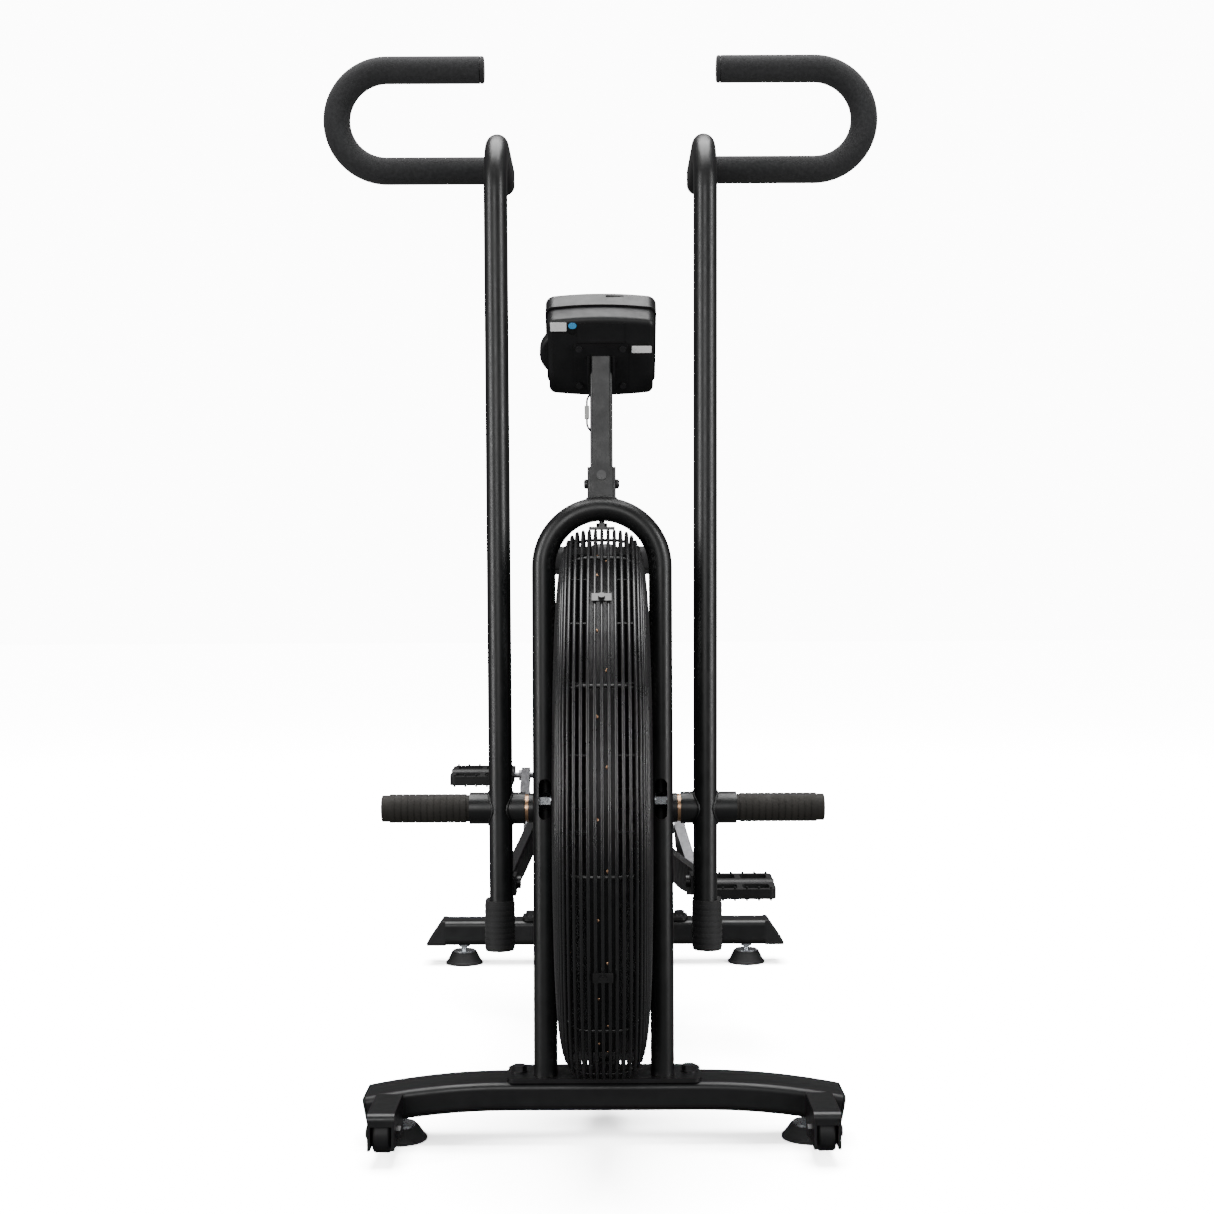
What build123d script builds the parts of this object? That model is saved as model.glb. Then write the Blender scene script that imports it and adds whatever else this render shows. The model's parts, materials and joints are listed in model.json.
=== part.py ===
# Air bike, upright, with swinging arms. Millimetres, +Z up.
#
# Sub-parts are drawn about the fan hoop: Y = 0 is the hoop's plane, the rider sits at +Y and faces -Y, so
# the rider's right hand is at -X. save() shifts everything by ORIGIN_SHIFT, which puts the part's origin on
# the floor at the centre of its footprint.
from build123d import *
from math import atan2, cos, degrees, hypot, pi, radians, sin, tan
import os

# ---------------------------------------------------------------- driving dimensions
CAGE_R = 332            # outermost ring of the fan cage, to the wire's centre
FAN_Z = 417.5           # fan axle
REAR_Y = 1067           # rear stabiliser, behind the hoop's plane
REAR_DEPTH = 60         # rear stabiliser, front to back
WIRE_R = 2.0            # cage wire
ORIGIN_SHIFT = ((CAGE_R + WIRE_R) - (REAR_Y + REAR_DEPTH / 2)) / 2

HOOP_X = 72             # hoop leg centreline
HOOP_W, HOOP_D = 28, 60
HOOP_WALL = 2.5
ARCH_Z = 705            # where the legs turn into the arch
PLATE_TOP = 82          # top of the base plate
PLATE_T = 5

STAB_D, STAB_H = 70, 35  # front stabiliser section
STAB_HALF, STAB_FLAT = 288, 200
STAB_BEND_R = 900
STAB_Z, STAB_END_Z = 59.5, 43
BOLT_X, REAR_BOLT_X = 105, 137   # stabiliser bolts
BOLT_HOLE_R = 5.2
REAR_Z0, REAR_Z1 = 37, 82
REAR_HALF = 293

PIVOT_Z = 408           # arm pivots and foot pegs
ARM_X = 126.3
ARM_W, ARM_D = 28.5, 45
ARM_SPLAY = 0.25        # degrees, outwards as the arm rises
ARM_TOP_Z = 1232.5
ARM_BEND_R = 60
ARM_FOOT_Z = 241
BOOT_Z, BOOT_H = 235, 61
GRIP_Y, GRIP_Z0, GRIP_Z1 = 177, 1240, 1375
GRIP_BEND_X = 285
BAR_R, GRIP_R = 14, 18

CRANK_Y, CRANK_Z = 620, 305
CRANK_LEN = 165
CRANK_ANGLE = 25        # right crank, above the rearward horizontal
PEDAL_TILT = 6          # degrees, front edge down
ECCENTRIC = 40          # throw of the arm-drive pins
SEAT_LEAN = degrees(atan2(0.262, 1))
SHAFT_Y, SHAFT_Z = 430, 345
CHAIN1_X, CHAIN2_X = -57, -46
RING1_R, SPROCKET_R, RING2_R = 80, 24, 60
CASE_WALL, CASE_GAP = 2, 12

RAIL_Z0, RAIL_Z1, RAIL_W = 40, 76, 40
TUBE_W, TUBE_D, TUBE_TOP = 40, 60, 264     # seat tube section, and its top beyond the crank axle
SHELL_R = 23
POST_W, POST_D = 34.4, 54.4                # seat post, a sliding fit in the tube
POST_FOOT, POST_TOP = 40, 390              # along the lean, beyond the crank axle
PIN_AT = 235                               # height pin, beyond the crank axle
STAY_X, STAY_W, STAY_H = 74, 18, 36
STAY_Z0, STAY_Z1 = 470, 440

FRONT_FOOT_X, REAR_FOOT_X = 253, 260
WHEEL_X, WHEEL_Y, WHEEL_Z, WHEEL_R, WHEEL_W = 261, -97, 37, 23, 22

HUB_R, PADDLE_R0, PADDLE_R1, BAND_R = 22, 95, 312, 300
PADDLES = 24
CAGE_BULGE, DISC_R = 55, 81
CAGE_POWER = 5           # exponent of the cage's rounded section
RIM_EDGE = 303           # rings wider than this belong to the rim
RING_PITCH = 7.6
SECTORS = 10             # cross wires on each half
FIRST_WIRE = 64          # degrees above the forward horizontal

LINK_Y, LINK_Z = 48, 309
LINK_T = 12
LINK_X0, LINK_X1 = 120.3, 96.3

MAST_W = 28
SOCKET_W, SOCKET_TOP = 35, 828
SCREW_Z, SIDE_SCREW_Z = 818, 808
CONSOLE_W, CONSOLE_H, CONSOLE_T = 136, 125, 52
CONSOLE_Y, CONSOLE_Z, CONSOLE_TILT = 12, 980.5, 45
BACK = -CONSOLE_T / 2     # the console's back face, in its own frame
PLATE_DOWN = -10          # bracket's centre, down the console's back
BUTTONS = 4

os.makedirs("parts", exist_ok=True)


# ---------------------------------------------------------------- helpers
def save(name, *shapes):
    """Write one sub-part, which may be several separate solids."""
    solids = [s for shape in shapes for s in shape.solids()]
    whole = solids[0] if len(solids) == 1 else Compound(children=solids)
    export_step(Pos(0, ORIGIN_SHIFT, 0) * whole, f"parts/{name}.step")


def block(x0, x1, y0, y1, z0, z1):
    return Pos((x0 + x1) / 2, (y0 + y1) / 2, (z0 + z1) / 2) * Box(abs(x1 - x0), abs(y1 - y0), abs(z1 - z0))


def rod_x(x0, x1, y, z, r, bore=0):
    rod = Pos((x0 + x1) / 2, y, z) * Rot(0, 90, 0) * Cylinder(r, abs(x1 - x0))
    if bore:
        rod -= Pos((x0 + x1) / 2, y, z) * Rot(0, 90, 0) * Cylinder(bore, abs(x1 - x0) + 1)
    return rod


def rod_z(x, y, z0, z1, r, bore=0):
    rod = Pos(x, y, (z0 + z1) / 2) * Cylinder(r, z1 - z0)
    if bore:
        rod -= Pos(x, y, (z0 + z1) / 2) * Cylinder(bore, z1 - z0 + 1)
    return rod


def hex_x(x0, x1, y, z, across_flats):
    face = Plane(origin=(min(x0, x1), y, z), z_dir=(1, 0, 0)) * RegularPolygon(across_flats / 2, 6, major_radius=False)
    return extrude(face, abs(x1 - x0))


def hex_z(x, y, z0, z1, across_flats):
    face = Plane(origin=(x, y, z0)) * RegularPolygon(across_flats / 2, 6, major_radius=False)
    return extrude(face, z1 - z0)


def flip(shape):
    """The same piece on the other side of the bike."""
    return mirror(shape, Plane.YZ)


def pair(shape):
    """A piece and its twin on the other side."""
    return [shape, flip(shape)]


def oval(width, depth, wall=0):
    """Flat-oval tube section, long way along Y."""
    section = Rot(0, 0, 90) * SlotOverall(depth, width)
    if wall:
        section -= Rot(0, 0, 90) * SlotOverall(depth - 2 * wall, width - 2 * wall)
    return section


def rounded(width, depth, radius, wall=0):
    section = RectangleRounded(width, depth, radius)
    if wall:
        section -= RectangleRounded(width - 2 * wall, depth - 2 * wall, max(radius - wall, 1))
    return section


def side_plane(x):
    """Sketch plane seen from the side: local x is +Y, local y is +Z, extruding towards +X."""
    return Plane(origin=(x, 0, 0), x_dir=(0, 1, 0), z_dir=(1, 0, 0))


def belt_face(y0, z0, r0, y1, z1, r1):
    """Outline round two circles, as a chain or a chain case takes it."""
    return make_hull((Pos(y0, z0) * Circle(r0) + Pos(y1, z1) * Circle(r1)).edges())


# ---------------------------------------------------------------- frame
def hoop_solid(inset):
    """The inverted U, or its inside when inset is the wall."""
    section = oval(HOOP_W - 2 * inset, HOOP_D - 2 * inset)
    leg = extrude(Pos(HOOP_X, 0, PLATE_TOP) * section, ARCH_Z - PLATE_TOP)
    arch = revolve(Pos(HOOP_X, 0, ARCH_Z) * section, Axis((0, 0, ARCH_Z), (0, -1, 0)), 180)
    return leg + flip(leg) + arch


def make_hoop():
    window_w, window_h, window_up = 15, 50, 4
    hoop = hoop_solid(0) - hoop_solid(HOOP_WALL)
    for side in (-1, 1):
        outline = Plane(origin=(side * (HOOP_X - 1), -HOOP_D, FAN_Z + window_up), x_dir=(0, 0, 1), z_dir=(0, 1, 0))
        hoop -= extrude(outline * SlotOverall(window_h, window_w), HOOP_D)
        hoop -= rod_x(side * (HOOP_X - HOOP_W / 2 - 2), side * HOOP_X, 0, FAN_Z, 5)
    save("hoop", hoop)


def make_mounting_plates():
    plate = extrude(Pos(0, 0, PLATE_TOP - PLATE_T) * RectangleRounded(238, STAB_D, 11), PLATE_T)
    for side in (-1, 1):
        plate -= rod_z(side * BOLT_X, 0, PLATE_TOP - PLATE_T - 1, PLATE_TOP + 1, BOLT_HOLE_R)
    rear = extrude(Pos(0, REAR_Y, REAR_Z1) * RectangleRounded(304, REAR_DEPTH, 12), PLATE_T)
    for side in (-1, 1):
        rear -= rod_z(side * REAR_BOLT_X, REAR_Y, REAR_Z1 - 1, REAR_Z1 + PLATE_T + 1, BOLT_HOLE_R)
    save("mounting_plates", plate, rear)


def stabiliser_path():
    """Level in the middle, then a long even bend down to each end."""
    points = [(-STAB_HALF, STAB_END_Z), (-STAB_FLAT, STAB_Z), (STAB_FLAT, STAB_Z), (STAB_HALF, STAB_END_Z)]
    return Plane.XZ * FilletPolyline(*points, radius=STAB_BEND_R)


def make_front_stabiliser():
    path = stabiliser_path()
    section = Plane(origin=path @ 0, x_dir=(0, 1, 0), z_dir=path % 0) * rounded(STAB_D, STAB_H, 8, 2.5)
    tube = sweep(section, path=path)
    for side in (-1, 1):
        tube -= rod_z(side * BOLT_X, 0, 30, PLATE_TOP, BOLT_HOLE_R)
    save("front_stabiliser", tube)


def front_cap():
    path = stabiliser_path()
    cap = extrude(Plane(origin=path @ 1, x_dir=(0, 1, 0), z_dir=path % 1) * RectangleRounded(STAB_D, STAB_H, 8), 4)
    return chamfer(cap.faces().sort_by(Axis.X)[-1].edges(), 1.5)


def bolt_z(x, y, seat, end, r=5):
    """Hex bolt with its washer, head up, sitting on the surface at seat."""
    bolt = rod_z(x, y, seat, seat + 2, 10) + hex_z(x, y, seat + 2, seat + 8.4, 16)
    return bolt + rod_z(x, y, end, seat + 1, r)


def make_frame_bolts():
    front = [bolt_z(side * BOLT_X, 0, PLATE_TOP, 42) for side in (-1, 1)]
    rear = [bolt_z(side * REAR_BOLT_X, REAR_Y, REAR_Z1 + PLATE_T, 34) for side in (-1, 1)]
    save("stabiliser_bolts", *front, *rear)


def make_rear_stabiliser():
    height = REAR_Z1 - REAR_Z0
    middle = (REAR_Z0 + REAR_Z1) / 2
    section = Plane(origin=(-REAR_HALF, REAR_Y, middle), x_dir=(0, 1, 0), z_dir=(1, 0, 0))
    tube = extrude(section * rounded(REAR_DEPTH, height, 10, 2.5), 2 * REAR_HALF)
    for side in (-1, 1):
        tube -= rod_z(side * REAR_BOLT_X, REAR_Y, REAR_Z0 - 1, REAR_Z1 + 1, BOLT_HOLE_R)
    save("rear_stabiliser", tube)


def rear_cap():
    """End cap with a sloping outer end: short at the top, long at the floor."""
    outline = Plane(origin=(0, REAR_Y + REAR_DEPTH / 2, 0), x_dir=(1, 0, 0), z_dir=(0, -1, 0))
    slope = Polyline((REAR_HALF, REAR_Z0), (327, REAR_Z0), (327, REAR_Z0 + 5), (300, REAR_Z1),
                     (REAR_HALF, REAR_Z1), close=True)
    cap = extrude(outline * make_face(slope), REAR_DEPTH)
    along = [e for e in cap.edges() if (e @ 0.5).X > REAR_HALF + 1]
    return fillet(along, 2)


def make_centre_rail():
    section = Plane(origin=(0, STAB_D / 2, (RAIL_Z0 + RAIL_Z1) / 2), x_dir=(1, 0, 0), z_dir=(0, 1, 0))
    length = REAR_Y - REAR_DEPTH / 2 - STAB_D / 2
    save("centre_rail", extrude(section * rounded(RAIL_W, RAIL_Z1 - RAIL_Z0, 5, 2.5), length))


def lean_plane(distance):
    """Plane across the leaning seat tube, distance along it from the crank axle."""
    lean = radians(SEAT_LEAN)
    along = Vector(0, sin(lean), cos(lean))
    return Plane(origin=Vector(0, CRANK_Y, CRANK_Z) + along * distance, x_dir=(1, 0, 0), z_dir=along)


def make_seat_tube():
    tube = extrude(lean_plane(-250) * rounded(TUBE_W, TUBE_D, 5, 2.5), 250 + TUBE_TOP)
    tube -= block(-40, 40, 300, 800, 0, RAIL_Z1)
    tube -= rod_x(-60, 60, CRANK_Y, CRANK_Z, SHELL_R)
    pin_hole = lean_plane(PIN_AT) * Pos(0, -TUBE_D / 2, 0) * Rot(90, 0, 0) * Cylinder(5.2, 60)
    tube -= pin_hole
    boss = lean_plane(PIN_AT) * Pos(0, -TUBE_D / 2 - 8, 0) * Rot(90, 0, 0) * Cylinder(11, 16)
    shell = rod_x(-34, 34, CRANK_Y, CRANK_Z, SHELL_R, 17)
    save("seat_tube", tube + boss - pin_hole, shell)


def make_side_stays():
    """From the back of each hoop leg, past the cage, and in to the seat tube."""
    seat_front = CRANK_Y + tan(radians(SEAT_LEAN)) * (STAY_Z1 - CRANK_Z) - TUBE_D / 2
    path = FilletPolyline((STAY_X, HOOP_D / 2 - 12, STAY_Z0), (STAY_X, 400, STAY_Z1),
                          (16, seat_front + 25, STAY_Z1), radius=70)
    start = Plane(origin=path @ 0, x_dir=(1, 0, 0), z_dir=path % 0)
    stay = sweep(start * rounded(STAY_W, STAY_H, 4), path=path)
    tube = extrude(lean_plane(0) * RectangleRounded(TUBE_W, TUBE_D, 5), TUBE_TOP)
    stay = (stay - hoop_solid(0) - tube).solids().sort_by(SortBy.VOLUME)[-1]
    half_gap = 1        # the two stays stop short of each other on the centre plane
    return pair(stay - block(0, half_gap, 300, 800, 300, 600))


def make_shaft_hangers():
    """Plates under the stays that carry the intermediate shaft in two bearings."""
    outline = make_hull((Pos(SHAFT_Y, SHAFT_Z) * Circle(20)
                         + Pos(SHAFT_Y - 10, STAY_Z1 - 26) * Rectangle(50, 16)).edges())
    return pair(extrude(side_plane(69) * (outline - Pos(SHAFT_Y, SHAFT_Z) * Circle(13)), 5))


def make_bearings():
    """Every fixed bearing ring: middle shaft, crank, fan hub and arm pivots."""
    rings = [rod_x(68, 75, SHAFT_Y, SHAFT_Z, 13, 7.5), rod_x(20, 34, CRANK_Y, CRANK_Z, 17, 9.55),
             rod_x(38, 48, 0, FAN_Z, 13.95, 5), rod_x(98, 110, 0, PIVOT_Z, 15.95, 12.5),
             rod_x(148, 160, 0, PIVOT_Z, 15.95, 12.5)]
    save("bearings", *rings, *[flip(ring) for ring in rings])


# ---------------------------------------------------------------- feet and transport wheels
def foot_pad(x, y, height):
    foot_r, top_r = 34, 23
    profile = Polyline((0, 0), (foot_r, 0), (foot_r, 3), (foot_r - 3, 6), (top_r, height), (0, height), close=True)
    return revolve(Plane(origin=(x, y, 0), x_dir=(1, 0, 0), z_dir=(0, -1, 0)) * make_face(profile),
                   Axis((x, y, 0), (0, 0, 1)), 360)


def foot_stud(x, y, height, under):
    """Threaded stud with its cup washer on the pad and its nut against the tube above."""
    return rod_z(x, y, height, height + 2.5, 20) + hex_z(x, y, under - 6.5, under, 17) + rod_z(
        x, y, height + 1, under, 5)


def make_feet():
    slope = (STAB_Z - STAB_END_Z) / (STAB_HALF - STAB_FLAT)
    nut_edge = FRONT_FOOT_X + 10
    under_front = STAB_END_Z + slope * (STAB_HALF - nut_edge) - STAB_H / 2 * hypot(1, slope)
    places = [(s * FRONT_FOOT_X, 0, 17, under_front) for s in (-1, 1)]
    places += [(s * REAR_FOOT_X, REAR_Y, 22, REAR_Z0) for s in (-1, 1)]
    save("foot_pads", *[foot_pad(x, y, height) for x, y, height, under in places])
    save("foot_studs", *[foot_stud(*place) for place in places])


def make_transport_wheels():
    x, y, z = WHEEL_X, WHEEL_Y, WHEEL_Z
    front, back = y - 25, -STAB_D / 2
    roof, top = WHEEL_Z + WHEEL_R + 0.8, WHEEL_Z + WHEEL_R + 4.8
    bracket = block(x - 16, x + 16, front, back, 22, top)
    bracket -= block(x - 12.5, x + 12.5, front - 1, back - 4, 0, roof)
    bracket += block(x - 16, x + 16, front, front + 3, 50, top)
    bracket = fillet(bracket.edges().filter_by(Axis.X).group_by(Axis.Z)[-1].sort_by(Axis.Y)[0], 8)
    for side_x in (x - 14.25, x + 14.25):
        bracket -= rod_x(side_x - 3, side_x + 3, y, z, 4.2)
    wheel = fillet(rod_x(x - WHEEL_W / 2, x + WHEEL_W / 2, y, z, WHEEL_R).edges(), 4)
    wheel -= rod_x(x - 12, x + 12, y, z, 4.05)
    for side_x in (x - WHEEL_W / 2, x + WHEEL_W / 2):
        wheel -= rod_x(side_x - 1.5, side_x + 1.5, y, z, 16, 0) - rod_x(side_x - 3, side_x + 3, y, z, 8)
    save("transport_wheel_left", wheel)
    save("transport_wheel_right", flip(wheel))
    bolt = rod_x(x - 18, x + 18, y, z, 4)
    head = fillet(rod_x(x + 16, x + 20.5, y, z, 8).edges().sort_by(Axis.X)[-1], 3.5)
    bolt += head + hex_x(x - 21, x - 16, y, z, 13)
    save("wheel_brackets", bracket, flip(bracket), bolt, flip(bolt))


# ---------------------------------------------------------------- fan and cage
def around_fan(shape, degrees_round):
    return Pos(0, 0, FAN_Z) * Rot(degrees_round, 0, 0) * Pos(0, 0, -FAN_Z) * shape


def make_fan():
    washer_x = HOOP_X - HOOP_W / 2 + HOOP_WALL
    nut = rod_x(washer_x, washer_x + 4.5, 0, FAN_Z, 10.5) + hex_x(washer_x + 4.5, washer_x + 18, 0, FAN_Z, 16)
    nut -= rod_x(58, 90, 0, FAN_Z, 5)
    save("fan_axle", rod_x(-81, 81, 0, FAN_Z, 5), *pair(nut))
    hub = rod_x(-50, 48, 0, FAN_Z, HUB_R, 14) + rod_x(-3, 3, 0, FAN_Z, PADDLE_R0 + 6, 14)
    hub += rod_x(CHAIN2_X - 2, CHAIN2_X + 2, 0, FAN_Z, SPROCKET_R, 14)
    band = rod_x(-14.5, 14.5, 0, FAN_Z, BAND_R + 2, BAND_R)
    save("fan_hub", hub, band)
    # each paddle is a flat blade with a rolled-in inner end, riveted to the band's ring
    blade = block(-38, 38, -1, 1, FAN_Z + PADDLE_R0, FAN_Z + PADDLE_R1) - rod_x(-60, 60, 0, FAN_Z, PADDLE_R0)
    blade -= block(-14.5, 14.5, -2, 2, FAN_Z + BAND_R, FAN_Z + PADDLE_R1 + 1)
    lip = block(-38, -36, -1, 9, FAN_Z + PADDLE_R0 + 10, FAN_Z + PADDLE_R1 - 8)
    blade = blade + lip + block(36, 38, -1, 9, FAN_Z + PADDLE_R0 + 10, FAN_Z + PADDLE_R1 - 8)
    blade += block(-14, 14, -4, 4, FAN_Z + PADDLE_R0 + 1, FAN_Z + PADDLE_R0 + 20)
    blade = blade - rod_x(-3.05, 3.05, 0, FAN_Z, PADDLE_R0 + 6)
    save("fan_paddles", *[around_fan(blade, 360 / PADDLES * i) for i in range(PADDLES)])

def cage_point(t):
    """Section of one cage half: t = 0 on the rim at mid width, t = pi/2 at the side disc."""
    x = CAGE_BULGE * sin(t) ** (2 / CAGE_POWER)
    r = DISC_R + (CAGE_R - DISC_R) * cos(t) ** (2 / CAGE_POWER)
    return x, r


def cage_rings():
    """Evenly spaced points along the section, each with its inward normal."""
    steps = 6000
    walked, last, rings = 0.0, cage_point(0), [(0.0, CAGE_R, 0.0, -1.0)]
    for i in range(1, steps):
        here = cage_point(pi / 2 * i / steps)
        dx, dr = here[0] - last[0], here[1] - last[1]
        walked += hypot(dx, dr)
        last = here
        if walked >= RING_PITCH * len(rings) and here[1] > DISC_R + 3:
            size = hypot(dx, dr)
            rings.append((here[0], here[1], dr / size, -dx / size))
    return rings


def comb(rings):
    """One tenth of one side's rings, with the cross wire that lies inside them; both are square wire here."""
    span = 360 / SECTORS
    half = WIRE_R * 0.9
    parts = None
    for x, r, nx, nr in rings:
        square = Plane(origin=(x, 0, FAN_Z + r), x_dir=(nx, 0, nr), z_dir=(0, -1, 0)) * Rectangle(2 * half, 2 * half)
        arc = revolve(square, Axis((0, 0, FAN_Z), (1, 0, 0)), span)
        arc = around_fan(arc, -span / 2)
        parts = arc if parts is None else parts + arc
    shallow, deep = half - 0.2, 3 * half - 0.2
    outer = [(x + nx * shallow, FAN_Z + r + nr * shallow) for x, r, nx, nr in rings]
    inner = [(x + nx * deep, FAN_Z + r + nr * deep) for x, r, nx, nr in rings]
    outline = make_face(Polyline(*outer, *reversed(inner), close=True))
    wire = extrude(Plane(origin=(0, half, 0), x_dir=(1, 0, 0), z_dir=(0, -1, 0)) * outline, 2 * half)
    return parts + wire


def make_cage():
    """Two welded wire baskets; the ring at mid width belongs to the left one."""
    rings = cage_rings()
    rim = [ring for ring in rings if ring[1] > RIM_EDGE]
    face = [ring for ring in rings if ring[1] <= RIM_EDGE]
    left_rim, right_rim, left_face = comb(rim), flip(comb(rim[1:])), comb(face)
    right_face = flip(left_face)
    chain_way = block(CHAIN2_X - 11, CHAIN2_X + 9, 268, CAGE_R + 5, FAN_Z - 110, FAN_Z + 6)
    angles = [90 - FIRST_WIRE - 360 / SECTORS * i for i in range(SECTORS)]
    save("cage_left", *[around_fan(piece, a) for a in angles for piece in (left_rim, left_face)])
    save("cage_right", *[around_fan(piece, a) - chain_way for a in angles for piece in (right_rim, right_face)])


def make_cage_fixings():
    """Clips that join the halves, and the brackets that hang the cage in the hoop."""
    clips = []
    for angle in (48, -28, 118, 190, 262):
        clip = block(-11, 11, -6, 6, FAN_Z + CAGE_R + 2.2, FAN_Z + CAGE_R + 4.2)
        clip += Pos(0, 0, FAN_Z + CAGE_R + 5.2) * Cylinder(4, 4)
        clips.append(around_fan(clip, 90 - angle))
    arch_inside = ARCH_Z + HOOP_X - HOOP_W / 2
    top = block(-16, 16, -14, 14, FAN_Z + CAGE_R + 2.2, FAN_Z + CAGE_R + 5.2) + hex_z(
        0, 0, FAN_Z + CAGE_R + 5, FAN_Z + CAGE_R + 10, 12) + rod_z(0, 0, FAN_Z + CAGE_R + 4, arch_inside, 3.5)
    bottom = rod_z(0, 0, PLATE_TOP, FAN_Z - CAGE_R - WIRE_R, 9)
    disc = rod_x(CAGE_BULGE - 2, CAGE_BULGE + 1.8, 0, FAN_Z, DISC_R + 1, 12)
    disc = fillet(disc.edges().sort_by(SortBy.LENGTH)[-2:], 1.5)
    save("cage_side_discs", disc, flip(disc))
    save("cage_fixings", *clips, top - hoop_solid(0), bottom)


# ---------------------------------------------------------------- drive
def toothed(x, y, z, r, thickness, bore, holes=0):
    """Chain wheel, a plain disc up to the roots of its teeth, with a ring of lightening holes."""
    disc = rod_x(x - thickness / 2, x + thickness / 2, y, z, r, bore)
    for i in range(holes):
        angle = 2 * pi * i / holes
        disc -= rod_x(x - 9, x + 9, y + r * 0.58 * cos(angle), z + r * 0.58 * sin(angle), r * 0.17)
    return disc


def chain(x, y0, z0, r0, y1, z1, r1, width):
    outer = belt_face(y0, z0, r0 + 6, y1, z1, r1 + 6)
    inner = belt_face(y0, z0, r0 + 0.8, y1, z1, r1 + 0.8)
    return extrude(side_plane(x - width / 2) * (outer - inner), width)


def crank_arm():
    """Forged arm lying along +Y from the axle: curved outwards in plan, tapered in side view."""
    profile = Polyline((112, -18), (112, 30), (124, 110), (124, CRANK_LEN + 16), (138, CRANK_LEN + 16),
                       (138, 100), (128, 22), (128, -18), close=True)
    plan = extrude(Plane.XY * Pos(0, 0, -25) * make_face(profile), 50)
    side = extrude(side_plane(105) * make_hull((Circle(17) + Pos(CRANK_LEN, 0) * Circle(13)).edges()), 40)
    arm = plan & side
    arm -= rod_x(100, 145, 0, 0, 9.5)
    arm -= rod_x(100, 145, CRANK_LEN, 0, 7)
    return arm


def at_crank(shape, angle):
    return Pos(0, CRANK_Y, CRANK_Z) * Rot(angle, 0, 0) * shape


def pedal_place(side):
    angle = radians(CRANK_ANGLE)
    return CRANK_Y - side * CRANK_LEN * cos(angle), CRANK_Z - side * CRANK_LEN * sin(angle)


def make_crank():
    left = at_crank(crank_arm(), CRANK_ANGLE + 180)
    right = at_crank(flip(crank_arm()), CRANK_ANGLE)
    # small inner cranks whose pins drive the links to the arms
    outline = make_hull((Circle(17) + Pos(0, ECCENTRIC) * Circle(11)).edges()) - Circle(9.5)
    web = extrude(side_plane(78) * outline, 8) + rod_x(86, 88.5, 0, ECCENTRIC, 7)
    axle = rod_x(-128, 128, CRANK_Y, CRANK_Z, 9.5)
    save("crank_axle", axle, at_crank(web, 180), at_crank(flip(web), 0))
    spindles = []
    save("chainring", toothed(CHAIN1_X, CRANK_Y, CRANK_Z, RING1_R, 3, 9.5, 6))
    for side, name in ((1, "left"), (-1, "right")):
        y, z = pedal_place(side)
        spindle = rod_x(119, 240, y, z, 4.95) + rod_x(124, 137.8, y, z, 7) + rod_x(138.2, 143, y, z, 9)
        pedal = make_pedal(y, z)
        spindles.append(spindle if side > 0 else flip(spindle))
        save(f"pedal_{name}", pedal if side > 0 else flip(pedal))
    save("crank_arms", left, right, *spindles)


def make_pedal(y, z):
    """Platform pedal: a frame round the spindle barrel, with grip pins above and below."""
    x0, x1, depth, thick = 150, 255, 96, 15
    frame = block(x0, x1, y - depth / 2, y + depth / 2, z - thick / 2, z + thick / 2)
    frame = fillet(frame.edges().filter_by(Axis.Z), 10)
    for sign in (-1, 1):
        for window_x0, window_x1 in ((x0 + 9, x0 + 48), (x0 + 56, x1 - 9)):
            hole = block(window_x0, window_x1, y + sign * 17, y + sign * 40, z - 20, z + 20)
            frame -= fillet(hole.edges().filter_by(Axis.Z), 5)
    frame += rod_x(x0, x1, y, z, 11)
    frame -= rod_x(x0 - 1, x0 + 92, y, z, 5)
    for i in range(6):
        pin_x = x0 + 8 + i * (x1 - x0 - 16) / 5
        for pin_y in (y - 44, y + 44):
            frame += rod_z(pin_x, pin_y, z - thick / 2 - 3, z + thick / 2 + 3, 1.8)
    return Pos(0, y, z) * Rot(PEDAL_TILT, 0, 0) * Pos(0, -y, -z) * frame


def case_outline(extra):
    return belt_face(CRANK_Y, CRANK_Z, RING1_R + CASE_GAP + extra, SHAFT_Y, SHAFT_Z, RING2_R + CASE_GAP + extra)


def make_drive():
    shaft = rod_x(-78, 78, SHAFT_Y, SHAFT_Z, 7.45)
    small = toothed(CHAIN1_X, SHAFT_Y, SHAFT_Z, SPROCKET_R, 3, 7.45)
    big = toothed(CHAIN2_X, SHAFT_Y, SHAFT_Z, RING2_R, 3, 7.45, 5)
    save("middle_shaft", shaft, small, big)
    save("chains", chain(CHAIN1_X, CRANK_Y, CRANK_Z, RING1_R, SHAFT_Y, SHAFT_Z, SPROCKET_R, 6),
         chain(CHAIN2_X, SHAFT_Y, SHAFT_Z, RING2_R, 0, FAN_Z, SPROCKET_R, 6))
    inner_x, part_x, outer_x = -38, -51.5, -64.5
    inner = extrude(side_plane(part_x) * case_outline(CASE_WALL), inner_x - part_x)
    inner -= extrude(side_plane(part_x) * case_outline(0), inner_x - part_x - CASE_WALL)
    inner -= block(CHAIN2_X - 5, CHAIN2_X + 5, 200, SHAFT_Y - 20, 200, 500)
    outer = extrude(side_plane(outer_x) * case_outline(CASE_WALL), part_x - outer_x)
    outer -= extrude(side_plane(outer_x + CASE_WALL) * case_outline(0), part_x - outer_x - CASE_WALL)
    for y, z, r in ((CRANK_Y, CRANK_Z, 12), (SHAFT_Y, SHAFT_Z, 10)):
        inner -= rod_x(-70, -30, y, z, r)
        outer -= rod_x(-70, -30, y, z, r)
    save("chain_case_inner", inner)
    save("chain_case_outer", outer)


# ---------------------------------------------------------------- arms, pegs and links
def splay(shape):
    return Pos(0, 0, PIVOT_Z) * Rot(0, ARM_SPLAY, 0) * Pos(0, 0, -PIVOT_Z) * shape


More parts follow.
